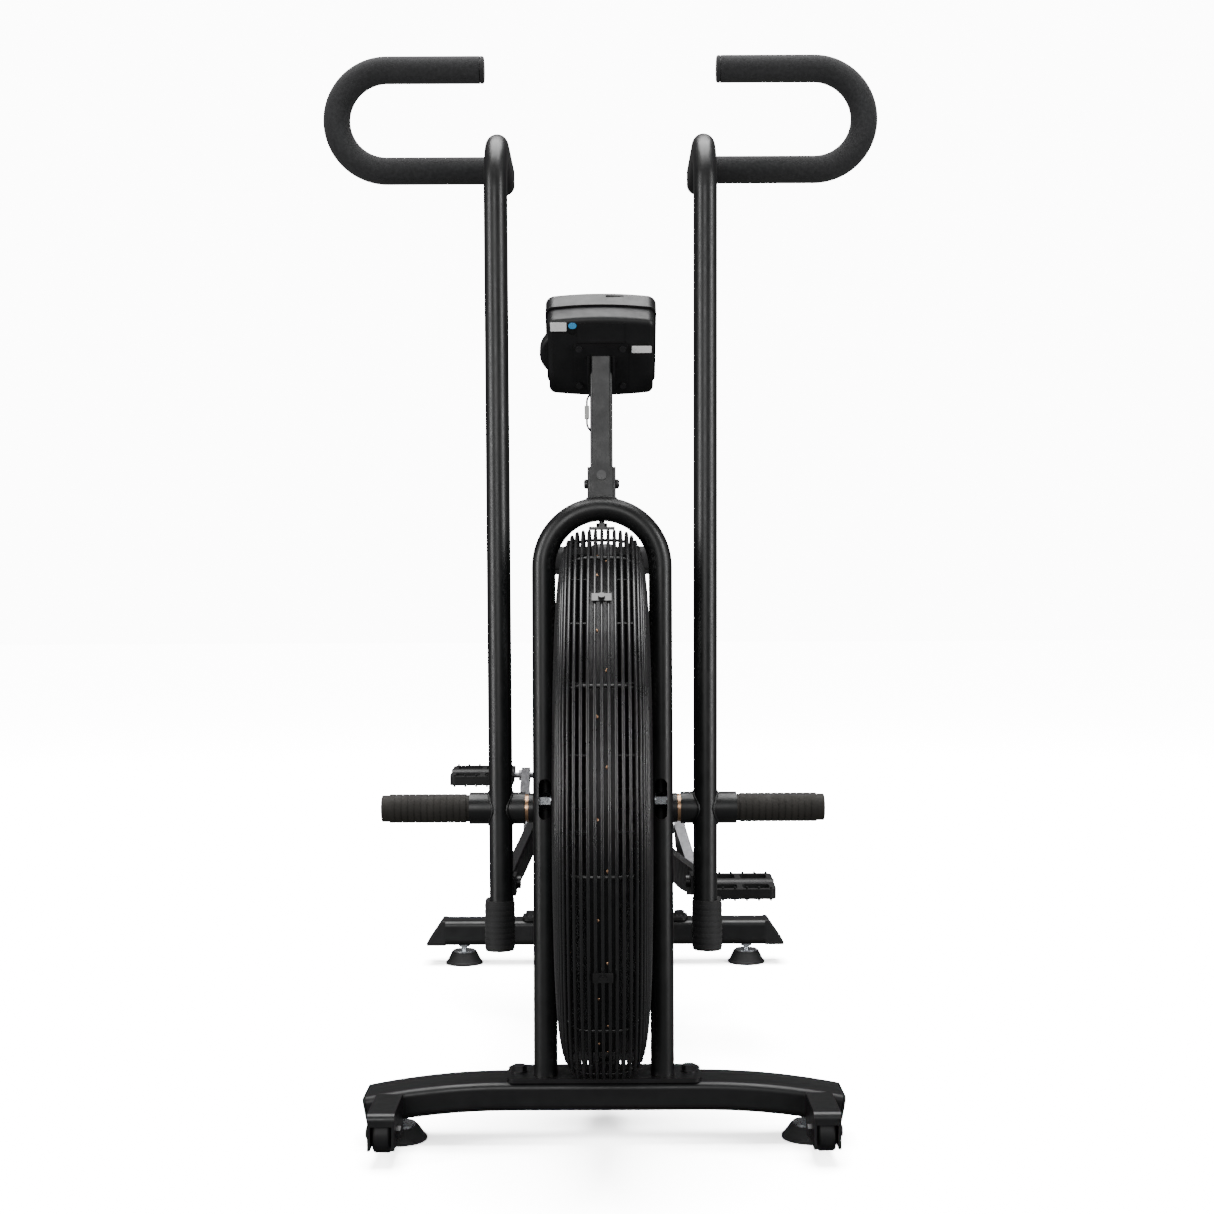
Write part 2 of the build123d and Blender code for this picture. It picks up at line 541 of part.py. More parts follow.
def make_arm():
    path = FilletPolyline((ARM_X, 0, ARM_FOOT_Z), (ARM_X, 0, ARM_TOP_Z), (ARM_X, GRIP_Y + 14, ARM_TOP_Z),
                          radius=ARM_BEND_R)
    start = Plane(origin=path @ 0, x_dir=(1, 0, 0), z_dir=(0, 0, 1))
    tube = splay(sweep(start * oval(ARM_W, ARM_D, 2.2), path=path))
    bore = rod_x(90, 170, 0, PIVOT_Z, 16)
    hub = rod_x(96, 164.5, 0, PIVOT_Z, 19.5)
    ear = extrude(side_plane(0) * make_hull((Pos(LINK_Y, LINK_Z) * Circle(13)
                                             + Pos(18, LINK_Z) * Rectangle(8, 24)).edges()), 4)
    ears = Pos(109, 0, 0) * ear + Pos(127.5, 0, 0) * ear
    filled = splay(extrude(Pos(ARM_X, 0, ARM_FOOT_Z - 20) * oval(ARM_W - 2, ARM_D - 2), 200))
    arm = tube + hub + (ears - filled) - bore - rod_x(100, 140, LINK_Y, LINK_Z, 5)
    return arm.solids().sort_by(SortBy.VOLUME)[-1]


def grip_path(inner, end):
    """The C: out from the arm, round, and back in above it."""
    corner = GRIP_BEND_X + (GRIP_Z1 - GRIP_Z0) / 2
    points = [(inner, GRIP_Y, GRIP_Z0), (corner, GRIP_Y, GRIP_Z0), (corner, GRIP_Y, GRIP_Z1), (end, GRIP_Y, GRIP_Z1)]
    return FilletPolyline(*points, radius=(GRIP_Z1 - GRIP_Z0) / 2 - 0.01)


def make_arms():
    arm = make_arm()
    end = 159
    bar_path = grip_path(ARM_X + 5 + ARM_W / 2 + 0.1, end + 1)
    start = Plane(origin=bar_path @ 0, x_dir=(0, 1, 0), z_dir=(1, 0, 0))
    bar = sweep(start * (Circle(BAR_R) - Circle(BAR_R - 2)), path=bar_path)
    foam_path = grip_path(ARM_X + 5 + ARM_W / 2 + 1.5, end + 2)
    start = Plane(origin=foam_path @ 0, x_dir=(0, 1, 0), z_dir=(1, 0, 0))
    foam = sweep(start * (Circle(GRIP_R) - Circle(BAR_R + 0.05)), path=foam_path)
    cap = fillet(rod_x(end - 4, end + 1, GRIP_Y, GRIP_Z1, GRIP_R).edges().sort_by(Axis.X)[0], 3)
    pin = link_pin()
    save("arm_left", arm, bar, pin)
    save("arm_right", flip(arm), flip(bar), flip(pin))
    save("grip_left", foam, cap)
    save("grip_right", flip(foam), flip(cap))
    boot = make_boot()
    save("arm_boot_left", boot)
    save("arm_boot_right", flip(boot))


def make_boot():
    """Ribbed rubber boot over the arm's lower end."""
    shift, ribs, rib_pitch = 2.2, 8, 7         # thicker on its outer side
    boot = extrude(Pos(ARM_X + shift, 0, BOOT_Z) * oval(ARM_W + 6.4, ARM_D + 4.4), BOOT_H)
    for i in range(ribs):
        boot += extrude(Pos(ARM_X + shift, 0, BOOT_Z + 3 + i * rib_pitch) * oval(ARM_W + 8, ARM_D + 6), 4)
    boot -= extrude(Pos(ARM_X, 0, ARM_FOOT_Z - 0.5) * oval(ARM_W + 0.6, ARM_D + 0.6), BOOT_H + 20)
    return splay(boot)


def make_pegs():
    peg = rod_x(HOOP_X + HOOP_W / 2, 263, 0, PIVOT_Z, 12.5, 10)
    peg += rod_x(86, 91.6, 0, PIVOT_Z, 18, 11)
    save("peg_tubes", *pair(peg))
    washer = rod_x(91.9, 95.7, 0, PIVOT_Z, 17, 12.5)
    save("thrust_washers", *pair(washer))
    sleeve = rod_x(169, 263, 0, PIVOT_Z, 17.75, 12.5) + rod_x(164.9, 169, 0, PIVOT_Z, 16.5, 12.5)
    for i in range(11):
        x = 175 + i * 8
        sleeve -= rod_x(x, x + 1.5, 0, PIVOT_Z, 18.5, 17.1)
    cap = rod_x(263, 273, 0, PIVOT_Z, 16.5)
    cap = fillet(cap.edges().sort_by(Axis.X)[-1], 1.5)
    save("peg_sleeves", *pair(sleeve), *pair(cap))


def make_link(side):
    """Deep flat bar from the arm's ears to the crank; side is +1 left, -1 right."""
    rear_y, rear_z = CRANK_Y, CRANK_Z - side * ECCENTRIC
    middle_z = (LINK_Z + rear_z) / 2 - 8
    spine = ThreePointArc((LINK_Y, LINK_Z), ((LINK_Y + rear_y) / 2, middle_z), (rear_y, rear_z))
    steps = 12
    top, bottom = [], []
    for i in range(steps + 1):
        share = i / steps
        point, normal = spine @ share, (spine % share).rotate(Axis.Z, 90)
        half = 11 + 9 * sin(pi * share) ** 0.45
        top.append(point + normal * half)
        bottom.append(point - normal * half)
    outline = make_face([Spline(*top), Spline(*bottom), Line(top[0], bottom[0]), Line(top[-1], bottom[-1])])
    outline += Pos(LINK_Y, LINK_Z) * Circle(13) + Pos(rear_y, rear_z) * Circle(11)
    bar = extrude(side_plane(-LINK_T / 2) * outline, LINK_T)
    inwards = degrees(atan2(LINK_X0 - LINK_X1, rear_y - LINK_Y))
    bar = Pos(LINK_X0, LINK_Y, 0) * Rot(0, 0, inwards) * Pos(0, -LINK_Y, 0) * bar
    bar -= rod_x(100, 140, LINK_Y, LINK_Z, 5.05)
    bar -= rod_x(60, 140, rear_y, rear_z, 7.5)
    return bar


def link_pin():
    pin = rod_x(107, 134, LINK_Y, LINK_Z, 5) + rod_x(104, 108.9, LINK_Y, LINK_Z, 8)
    return pin + rod_x(131.6, 135, LINK_Y, LINK_Z, 8)


def make_links():
    save("link_left", make_link(1))
    save("link_right", flip(make_link(-1)))


# ---------------------------------------------------------------- seat
def make_seat():
    groove_w, groove_d, length = 13, 4, POST_TOP - POST_FOOT
    middle = lean_plane((POST_FOOT + POST_TOP) / 2)
    post = extrude(lean_plane(POST_FOOT) * rounded(POST_W, POST_D, 3, 2.5), length)
    groove = middle * Pos(0, -POST_D / 2, 0) * Box(groove_w, 2 * groove_d, length - 50)
    floor = middle * Pos(0, -POST_D / 2 + groove_d + 1, 0) * Box(groove_w + 4, 2, length - 46)
    save("seat_post", post - groove + floor - groove)
    pin = lean_plane(PIN_AT) * Pos(0, -TUBE_D / 2 - 12, 0) * Rot(90, 0, 0) * Cylinder(5, 30)
    pin += lean_plane(PIN_AT) * Pos(0, -TUBE_D / 2 - 30, 0) * Rot(90, 0, 0) * Cylinder(15, 14)
    save("height_pin", pin)
    top_z, top_y = post_top()
    carriage = block(-22, 22, top_y - 45, top_y + 45, top_z, top_z + 6)
    carriage += block(-22, -17.5, top_y - 45, top_y + 45, top_z, top_z + 22)
    carriage += block(17.5, 22, top_y - 45, top_y + 45, top_z, top_z + 22)
    neck = extrude(lean_plane(POST_TOP - 20) * RectangleRounded(POST_W, POST_D, 3), 60)
    neck &= block(-30, 30, top_y - 60, top_y + 60, top_z - 40, top_z)
    post_body = extrude(lean_plane(POST_FOOT) * RectangleRounded(POST_W, POST_D, 3), POST_TOP - POST_FOOT)
    save("seat_carriage", carriage + (neck - post_body))
    rail = block(-17, 17, top_y - 80, top_y + 100, top_z + 6.3, top_z + 22)
    base = extrude(Pos(0, top_y + 25, top_z + 22) * saddle_outline(-8), 6) + rail
    save("saddle_base", base)
    pad = extrude(Pos(0, top_y + 25, top_z + 28) * saddle_outline(0), 40)
    pad = fillet(pad.edges().group_by(Axis.Z)[-1], 12)
    save("saddle_pad", pad)
    save("slider_knob", rod_x(22, 46, top_y, top_z + 8, 5) + rod_x(30, 52, top_y, top_z + 8, 12.5))


def post_top():
    """Top of the seat post's axis: height, then distance behind the hoop."""
    centre = lean_plane(POST_TOP).origin
    return centre.Z + 8, centre.Y


def saddle_outline(inset):
    """Saddle in plan: narrow nose to the front, wide at the back."""
    half_rear, half_nose, nose_y, rear_y = 108 + inset, 26 + inset, -130 - inset, 125 + inset
    side = Spline((half_nose, nose_y + 20), (half_nose + 12, nose_y + 100), (half_rear, rear_y - 50),
                  (half_rear - 22, rear_y - 8))
    back = ThreePointArc(side @ 1, (0, rear_y), ((side @ 1).X * -1, (side @ 1).Y))
    other = mirror(side, Plane.YZ)
    nose = ThreePointArc(side @ 0, (0, nose_y), ((side @ 0).X * -1, (side @ 0).Y))
    return make_face([side, back, other, nose])


# ---------------------------------------------------------------- console
def console_plane(offset=0):
    """Console's own frame as the rider sees it: x to the right hand, y up the face, z towards the rider."""
    tilt = radians(CONSOLE_TILT)
    normal = Vector(0, cos(tilt), sin(tilt))
    return Plane(origin=Vector(0, CONSOLE_Y, CONSOLE_Z) + normal * offset, x_dir=(-1, 0, 0), z_dir=normal)


def console_outline(inset):
    half_w, half_h, bulge = CONSOLE_W / 2 - inset, CONSOLE_H / 2 - 5 - inset, 5
    top = ThreePointArc((-half_w, half_h), (0, half_h + bulge), (half_w, half_h))
    bottom = ThreePointArc((half_w, -half_h), (0, -half_h - bulge), (-half_w, -half_h))
    face = make_face([top, Line((half_w, half_h), (half_w, -half_h)), bottom,
                      Line((-half_w, -half_h), (-half_w, half_h))])
    return fillet(face.vertices(), 12 - min(inset, 4))


def mast_screws(clearance=0):
    """Shanks and heads of the three screws through the socket; heads only without clearance."""
    front = Pos(0, -14.5, SCREW_Z) * Rot(90, 0, 0) * Cylinder(2.5 + clearance, 9)
    side = rod_x(10, 19, 0, SIDE_SCREW_Z, 3 + clearance)
    if clearance:
        return front + side + flip(side)
    front += Pos(0, -19, SCREW_Z) * Rot(90, 0, 0) * Cylinder(6, 3)
    side += fillet(rod_x(SOCKET_W / 2, SOCKET_W / 2 + 4.5, 0, SIDE_SCREW_Z, 6).edges().sort_by(Axis.X)[-1], 3)
    return [front, *pair(side)]


def make_mast():
    arch_top = ARCH_Z + HOOP_X + HOOP_W / 2
    foot = arch_top - 16
    socket = extrude(Pos(0, 0, foot) * rounded(SOCKET_W, SOCKET_W, 4, 3.3), SOCKET_TOP - foot)
    holes = mast_screws(0.2)
    save("mast_socket", (socket - hoop_solid(0) - holes).solids().sort_by(Axis.Z)[-1])
    mast = extrude(Pos(0, 0, arch_top + 2) * rounded(MAST_W, MAST_W, 4, 2), 200)
    back = extrude(console_plane(BACK - 4) * Rectangle(400, 400), 300)
    save("mast", (mast - back - holes).solids().sort_by(SortBy.VOLUME)[-1])


def make_console_bracket():
    """Plate on the console's back, with a cheek welded along each side of the mast."""
    plate_plane = console_plane(BACK - 4)
    plate = extrude(plate_plane * Pos(0, PLATE_DOWN) * RectangleRounded(67, 67, 5), 4)
    cheek_x = MAST_W / 2 + 0.1 + 1.6
    cheek = extrude(plate_plane * Pos(cheek_x, PLATE_DOWN - 4) * Rectangle(3.2, 44), -15)
    save("console_bracket", plate + cheek + flip(cheek))
    screws = [extrude(plate_plane * Pos(x, PLATE_DOWN + y) * Circle(4), -2.5) for x in (-27, 27) for y in (-28, 28)]
    save("console_screws", *screws, *mast_screws())


def make_console_back():
    """Back shell with its side pod, socket and battery door."""
    shell = extrude(console_plane(BACK) * console_outline(3), -BACK)
    rim = shell.edges().filter_by(lambda e: abs(console_plane().to_local_coords(e @ 0.5).Z - BACK) < 0.1)
    shell = fillet(rim, 6)
    shell -= extrude(console_plane(BACK + 2.5) * console_outline(5.5), -BACK)
    port = make_hull((Pos(38.5, 40) * Circle(3) + Pos(32.5, 40) * Rectangle(4, 8.5)).edges())
    shell -= extrude(console_plane(BACK) * port, 1.8)
    bulge = make_face([ThreePointArc((CONSOLE_W / 2 - 6, -28), (CONSOLE_W / 2 + 8, 1), (CONSOLE_W / 2 - 6, 30)),
                       Line((CONSOLE_W / 2 - 6, 30), (CONSOLE_W / 2 - 6, -28))])
    pod = extrude(console_plane(BACK + 5) * bulge, 17)
    pod = fillet(pod.edges().sort_by(SortBy.LENGTH)[-2:], 4) - extrude(console_plane(BACK) * console_outline(3), -BACK)
    door = extrude(console_plane(BACK - 0.9) * Pos(0, 39) * RectangleRounded(57, 29, 1.5), 0.9)
    save("console_back", shell, pod, door)


def make_console_front():
    """Face shell with its window, buttons and a notch in its top edge."""
    front = extrude(console_plane(0) * console_outline(0), -BACK)
    front = fillet(front.edges().filter_by(lambda e: abs(console_plane().to_local_coords(e @ 0.5).Z + BACK) < 0.1), 5)
    front -= extrude(console_plane(0) * console_outline(2.5), -BACK - 3)
    front -= extrude(console_plane(7) * Pos(-17, CONSOLE_H / 2 + 1) * Rectangle(22, 5), 12)
    window = Pos(0, 14)
    front -= extrude(console_plane(-BACK - 4) * window * RectangleRounded(104, 66, 5), 5)
    for i in range(BUTTONS):
        front -= extrude(console_plane(-BACK - 4) * button_place(i) * Circle(6.6), 5)
        button = extrude(console_plane(-BACK - 3.5) * button_place(i) * Circle(6.2), 6)
        save(f"console_button_{i + 1}", button)
    save("console_front", front)
    save("console_lens", extrude(console_plane(-BACK - 4) * window * RectangleRounded(103.6, 65.6, 5), 3))


def make_sensor_lead():
    """Plug-in joint of the fan sensor's lead, beside the mast: out of its wall above, and back in below."""
    lead_r, out_x, plug_z0, plug_z1 = 1.3, MAST_W / 2 + 3.8, 889, 905
    mast = extrude(Pos(0, 0, ARCH_Z) * RectangleRounded(MAST_W, MAST_W, 4), 400)
    runs = []
    for start, step in ((plug_z1, 1), (plug_z0, -1)):
        path = FilletPolyline((out_x, 3, start), (out_x, 3, start + 9 * step), (out_x - 7, 3, start + 18 * step),
                              radius=12)
        section = Plane(origin=path @ 0, z_dir=path % 0) * Circle(lead_r)
        runs.append(flip(sweep(section, path=path) - mast))
    plug = block(-out_x - 3, -out_x + 3, -1, 7, plug_z0, plug_z1)
    save("sensor_lead", *runs, plug)


def button_place(i):
    return Pos((i - (BUTTONS - 1) / 2) * 27, -36)


make_hoop()
make_mounting_plates()
make_front_stabiliser()
make_rear_stabiliser()
save("stabiliser_caps", *pair(front_cap()), *pair(rear_cap()))
make_frame_bolts()
make_centre_rail()
make_seat_tube()
save("side_stays", *make_side_stays(), *make_shaft_hangers())
make_bearings()
make_feet()
make_transport_wheels()
make_fan()
make_cage()
make_cage_fixings()
make_crank()
make_drive()
make_arms()
make_pegs()
make_links()
make_seat()
make_mast()
make_console_bracket()
make_console_back()
make_console_front()
make_sensor_lead()
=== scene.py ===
# Air bike: materials, soft parts, wire cage and studio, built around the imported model. Metres, +Z up.
import bmesh
import bpy
import json
from math import cos, hypot, pi, radians, sin
from mathutils import Matrix, Vector


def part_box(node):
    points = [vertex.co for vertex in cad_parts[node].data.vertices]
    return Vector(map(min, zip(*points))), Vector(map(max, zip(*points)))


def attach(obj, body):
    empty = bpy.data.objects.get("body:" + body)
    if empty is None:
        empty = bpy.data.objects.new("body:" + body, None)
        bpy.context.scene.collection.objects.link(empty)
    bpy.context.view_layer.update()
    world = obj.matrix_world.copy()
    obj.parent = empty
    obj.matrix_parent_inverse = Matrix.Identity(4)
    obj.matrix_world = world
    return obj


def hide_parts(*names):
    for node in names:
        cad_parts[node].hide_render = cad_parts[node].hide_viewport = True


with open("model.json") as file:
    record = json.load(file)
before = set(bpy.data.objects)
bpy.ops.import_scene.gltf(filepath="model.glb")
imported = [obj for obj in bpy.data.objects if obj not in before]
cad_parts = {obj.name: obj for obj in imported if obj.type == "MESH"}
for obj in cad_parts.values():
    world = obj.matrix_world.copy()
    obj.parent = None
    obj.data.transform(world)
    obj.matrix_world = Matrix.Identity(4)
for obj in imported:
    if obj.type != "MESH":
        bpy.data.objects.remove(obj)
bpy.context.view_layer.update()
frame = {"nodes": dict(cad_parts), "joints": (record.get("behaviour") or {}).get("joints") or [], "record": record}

nodes = frame["nodes"]
joints = {joint["name"]: joint for joint in frame["joints"]}
slot_of = {part["node"]: part["material_slot"] for part in frame["record"]["subparts"]}

FAN = Vector(joints["fan_spin"]["pos_m"])        # fan centre; its Y is the hoop's plane
HOOP_Y = FAN.y


# ---------------------------------------------------------------- camera
CAMERA_BACK = 2.161       # in front of the hoop's plane
CAMERA_Z = 0.656
CAMERA_X = 0.006
CAMERA_ROLL = -0.25       # degrees
LENS = 51.84              # on a 36 mm sensor


def make_camera():
    data = bpy.data.cameras.new("camera")
    data.lens = LENS
    data.sensor_width = 36
    data.clip_start = 0.05
    camera = bpy.data.objects.new("camera", data)
    turn = Matrix.Rotation(radians(90), 4, "X") @ Matrix.Rotation(radians(CAMERA_ROLL), 4, "Z")
    camera.matrix_world = Matrix.Translation((CAMERA_X, HOOP_Y - CAMERA_BACK, CAMERA_Z)) @ turn
    bpy.context.scene.collection.objects.link(camera)
    bpy.context.scene.camera = camera


# ---------------------------------------------------------------- materials
def new_material(name, colour, roughness, metallic=0.0, specular=0.5, coat=0.0, coat_roughness=0.2, sheen=0.0):
    """A material whose uniform values sit on the shader's own sockets."""
    material = bpy.data.materials.new(name)
    material.use_nodes = True
    shader = material.node_tree.nodes["Principled BSDF"]
    shader.inputs["Base Color"].default_value = (*colour, 1)
    shader.inputs["Roughness"].default_value = roughness
    shader.inputs["Metallic"].default_value = metallic
    shader.inputs["Specular IOR Level"].default_value = specular
    shader.inputs["Coat Weight"].default_value = coat
    shader.inputs["Coat Roughness"].default_value = coat_roughness
    shader.inputs["Sheen Weight"].default_value = sheen
    return material


def add_node(material, kind, **values):
    node = material.node_tree.nodes.new(kind)
    for key, value in values.items():
        if key in node.inputs:
            node.inputs[key].default_value = value
        else:
            setattr(node, key, value)
    return node


def link(material, source, target):
    material.node_tree.links.new(source, target)


def object_noise(material, scale, detail=4.0, stretch=(1, 1, 1)):
    """Noise fixed to the piece, with size 1/scale metres."""
    place = add_node(material, "ShaderNodeTexCoord")
    mapping = add_node(material, "ShaderNodeMapping")
    mapping.inputs["Scale"].default_value = stretch
    noise = add_node(material, "ShaderNodeTexNoise", Scale=scale, Detail=detail)
    link(material, place.outputs["Object"], mapping.inputs["Vector"])
    link(material, mapping.outputs["Vector"], noise.inputs["Vector"])
    return noise


def vary_roughness(material, noise, low, high):
    ramp = add_node(material, "ShaderNodeMapRange")
    ramp.inputs["From Min"].default_value = 0.3
    ramp.inputs["From Max"].default_value = 0.7
    ramp.inputs["To Min"].default_value = low
    ramp.inputs["To Max"].default_value = high
    link(material, noise.outputs["Fac"], ramp.inputs["Value"])
    link(material, ramp.outputs["Result"], shader_of(material).inputs["Roughness"])


def vary_colour(material, noise, dark, light):
    ramp = add_node(material, "ShaderNodeValToRGB")
    ramp.color_ramp.elements[0].position = 0.35
    ramp.color_ramp.elements[1].position = 0.68
    ramp.color_ramp.elements[0].color = (*dark, 1)
    ramp.color_ramp.elements[1].color = (*light, 1)
    link(material, noise.outputs["Fac"], ramp.inputs["Fac"])
    link(material, ramp.outputs["Color"], shader_of(material).inputs["Base Color"])
    return ramp


def shader_of(material):
    return material.node_tree.nodes["Principled BSDF"]


def add_bump(material, height, strength, distance):
    bump = add_node(material, "ShaderNodeBump", Strength=strength, Distance=distance)
    link(material, height, bump.inputs["Height"])
    link(material, bump.outputs["Normal"], shader_of(material).inputs["Normal"])
    return bump


def powder_coat(name, colour, roughness=0.42, specular=0.5):
    """Satin powder coat: orange peel, a fine sparkle of roughness and slight wear."""
    material = new_material(name, colour, roughness, specular=specular, coat=0.12, coat_roughness=0.35)
    broad = object_noise(material, 9, 3)
    lighter = tuple(c * 1.35 + 0.001 for c in colour)
    vary_colour(material, broad, colour, lighter)
    vary_roughness(material, object_noise(material, 60, 5), roughness - 0.05, roughness + 0.07)
    peel = object_noise(material, 950, 2)
    add_bump(material, peel.outputs["Fac"], 0.16, 0.0004)
    return material


def moulded_plastic(name, colour, roughness=0.5, grain=1500, strength=0.22):
    """Spark-eroded plastic: a fine even grain."""
    material = new_material(name, colour, roughness, specular=0.45)
    lighter = tuple(c * 1.3 + 0.001 for c in colour)
    vary_colour(material, object_noise(material, 14, 3), colour, lighter)
    vary_roughness(material, object_noise(material, 80, 4), roughness - 0.06, roughness + 0.06)
    texture = object_noise(material, grain, 3)
    add_bump(material, texture.outputs["Fac"], strength, 0.0003)
    return material


def foam_rubber(name, colour, roughness=0.85):
    """Closed-cell foam: pores under a millimetre across and a dusty sheen."""
    material = new_material(name, colour, roughness, specular=0.25, sheen=0.12)
    place = add_node(material, "ShaderNodeTexCoord")
    cells = add_node(material, "ShaderNodeTexVoronoi", Scale=1100.0)
    link(material, place.outputs["Object"], cells.inputs["Vector"])
    lighter = tuple(c * 1.5 + 0.002 for c in colour)
    vary_colour(material, object_noise(material, 220, 6), colour, lighter)
    add_bump(material, cells.outputs["Distance"], 0.5, 0.0004)
    return material


def dense_rubber(name, colour, roughness=0.66):
    material = new_material(name, colour, roughness, specular=0.35, sheen=0.05)
    lighter = tuple(c * 1.4 + 0.002 for c in colour)
    vary_colour(material, object_noise(material, 30, 5), colour, lighter)
    vary_roughness(material, object_noise(material, 120, 4), roughness - 0.08, roughness + 0.08)
    add_bump(material, object_noise(material, 700, 4).outputs["Fac"], 0.2, 0.0004)
    return material


def plated(name, colour, roughness, spots=0.06):
    """Plated or machined metal with cloudy roughness and fine turning marks."""
    material = new_material(name, colour, roughness, metallic=1.0)
    darker = tuple(c * 0.78 for c in colour)
    vary_colour(material, object_noise(material, 160, 4), darker, colour)
    vary_roughness(material, object_noise(material, 300, 4), roughness - spots, roughness + 2 * spots)
    add_bump(material, object_noise(material, 1800, 2, (0.2, 1, 1)).outputs["Fac"], 0.08, 0.0002)
    return material


def vinyl(name, colour):
    """Saddle cover: leather-grain vinyl."""
    material = new_material(name, colour, 0.48, specular=0.45, sheen=0.05)
    place = add_node(material, "ShaderNodeTexCoord")
    grain = add_node(material, "ShaderNodeTexVoronoi", Scale=520.0)
    grain.feature = "DISTANCE_TO_EDGE"
    link(material, place.outputs["Object"], grain.inputs["Vector"])
    lighter = tuple(c * 1.5 + 0.002 for c in colour)
    vary_colour(material, object_noise(material, 40, 5), colour, lighter)
    vary_roughness(material, object_noise(material, 90, 4), 0.42, 0.56)
    add_bump(material, grain.outputs["Distance"], 0.35, 0.0005)
    return material


def tinted_window(name, colour):
    material = new_material(name, colour, 0.08, specular=0.6, coat=0.5, coat_roughness=0.03)
    vary_roughness(material, object_noise(material, 25, 4), 0.05, 0.14)
    return material


def make_materials():
    return {
        "frame_black": powder_coat("frame_black", (0.0048, 0.0048, 0.0052), 0.38),
        "bolt_black": powder_coat("bolt_black", (0.012, 0.012, 0.013), 0.34, 0.6),
        "wire_black": powder_coat("wire_black", (0.010, 0.010, 0.0105), 0.30, 0.6),
        "blade_grey": powder_coat("blade_grey", (0.005, 0.005, 0.0055), 0.42, 0.35),
        "plastic_black": moulded_plastic("plastic_black", (0.008, 0.008, 0.0085), 0.5),
        "plastic_gloss": moulded_plastic("plastic_gloss", (0.008, 0.008, 0.0085), 0.42, 900, 0.08),
        "foam": foam_rubber("foam", (0.018, 0.018, 0.019)),
        "rubber_dark": dense_rubber("rubber_dark", (0.02, 0.02, 0.0205)),
        "peg_rubber": dense_rubber("peg_rubber", (0.020, 0.0175, 0.015), 0.72),
        "zinc": plated("zinc", (0.86, 0.90, 0.94), 0.26),
        "steel": plated("steel", (0.50, 0.50, 0.51), 0.34),
        "crank_grey": plated("crank_grey", (0.24, 0.24, 0.25), 0.36),
        "copper": plated("copper", (0.74, 0.45, 0.27), 0.32),
        "saddle_vinyl": vinyl("saddle_vinyl", (0.012, 0.012, 0.0125)),
        "screen": tinted_window("screen", (0.012, 0.015, 0.014)),
        "label_white": moulded_plastic("label_white", (0.90, 0.90, 0.89), 0.5, 700, 0.05),
        "plug_white": moulded_plastic("plug_white", (0.62, 0.62, 0.60), 0.5, 700, 0.05),
        "label_blue": moulded_plastic("label_blue", (0.06, 0.36, 0.72), 0.4, 700, 0.05),
    }


SLOT_OVERRIDES = {"peg_sleeves": "peg_rubber"}
PLUG_LENGTH = 0.016       # the pale plug in the middle of the sensor lead


def dress_cad_nodes(materials):
    for name, node in nodes.items():
        material = materials[SLOT_OVERRIDES.get(name, slot_of[name])]
        node.data.materials.clear()
        node.data.materials.append(material)
    lead = nodes["sensor_lead"]
    lead.data.materials.append(materials["plug_white"])
    low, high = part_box("sensor_lead")
    middle = (low[2] + high[2]) / 2
    for face in lead.data.polygons:
        if abs((lead.matrix_world @ face.center).z - middle) < PLUG_LENGTH / 2 + 0.0002:
            face.material_index = 1


# ---------------------------------------------------------------- mesh helpers
def add_piece(name, data, body, material):
    piece = bpy.data.objects.new(name, data)
    bpy.context.scene.collection.objects.link(piece)
    data.materials.append(material)
    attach(piece, body)
    return piece


def smooth(mesh):
    for face in mesh.polygons:
        face.use_smooth = True


def bmesh_data(name, bm):
    data = bpy.data.meshes.new(name)
    bm.to_mesh(data)
    bm.free()
    return data


def side_turn(angle):
    """Turns about the fan's axle; 0 is straight up and positive is towards the rider's back."""
    return Matrix.Translation(FAN) @ Matrix.Rotation(angle, 4, "X")


# ---------------------------------------------------------------- fan cage
CAGE_R, DISC_R, CAGE_BULGE = 0.332, 0.081, 0.055
CAGE_POWER = 5
RING_PITCH = 0.0076
WIRE_R = 0.002
SECTORS, FIRST_WIRE = 10, 64
CHAIN_X = (-0.057, -0.037)
CHAIN_Y = 0.268           # behind the fan's axle
CHAIN_Z = (-0.110, 0.006)


def cage_point(t):
    x = CAGE_BULGE * sin(t) ** (2 / CAGE_POWER)
    r = DISC_R + (CAGE_R - DISC_R) * cos(t) ** (2 / CAGE_POWER)
    return x, r


def cage_rings():
    steps, walked, last = 6000, 0.0, cage_point(0)
    rings = [(0.0, CAGE_R, 0.0, -1.0)]
    for i in range(1, steps):
        here = cage_point(pi / 2 * i / steps)
        dx, dr = here[0] - last[0], here[1] - last[1]
        size = hypot(dx, dr)
        walked += size
        last = here
        if walked >= RING_PITCH * len(rings) and here[1] > DISC_R + 0.003:
            rings.append((here[0], here[1], dr / size, -dx / size))
    return rings


def in_chain_way(x, y, z):
    return CHAIN_X[0] < x < CHAIN_X[1] and y > CHAIN_Y and CHAIN_Z[0] < z < CHAIN_Z[1]


def add_wire(curve, points, closed):
    spline = curve.splines.new("POLY")
    spline.points.add(len(points) - 1)
    for target, point in zip(spline.points, points):
        target.co = (*point, 1)
    spline.use_cyclic_u = closed


def ring_wires(curve, side, x, r):
    """One ring, opened where the chain passes through the cage."""
    count = 144
    points = [(side * x, -r * cos(2 * pi * i / count), r * sin(2 * pi * i / count)) for i in range(count)]
    blocked = [i for i, p in enumerate(points) if in_chain_way(*p)]
    placed = [Vector(p) + Vector((0, FAN.y, FAN.z)) for p in points]
    if blocked:
        start = (max(blocked) + 1) % count
        keep = [placed[(start + i) % count] for i in range(count - len(blocked))]
        add_wire(curve, keep, False)
    else:
        add_wire(curve, placed, True)


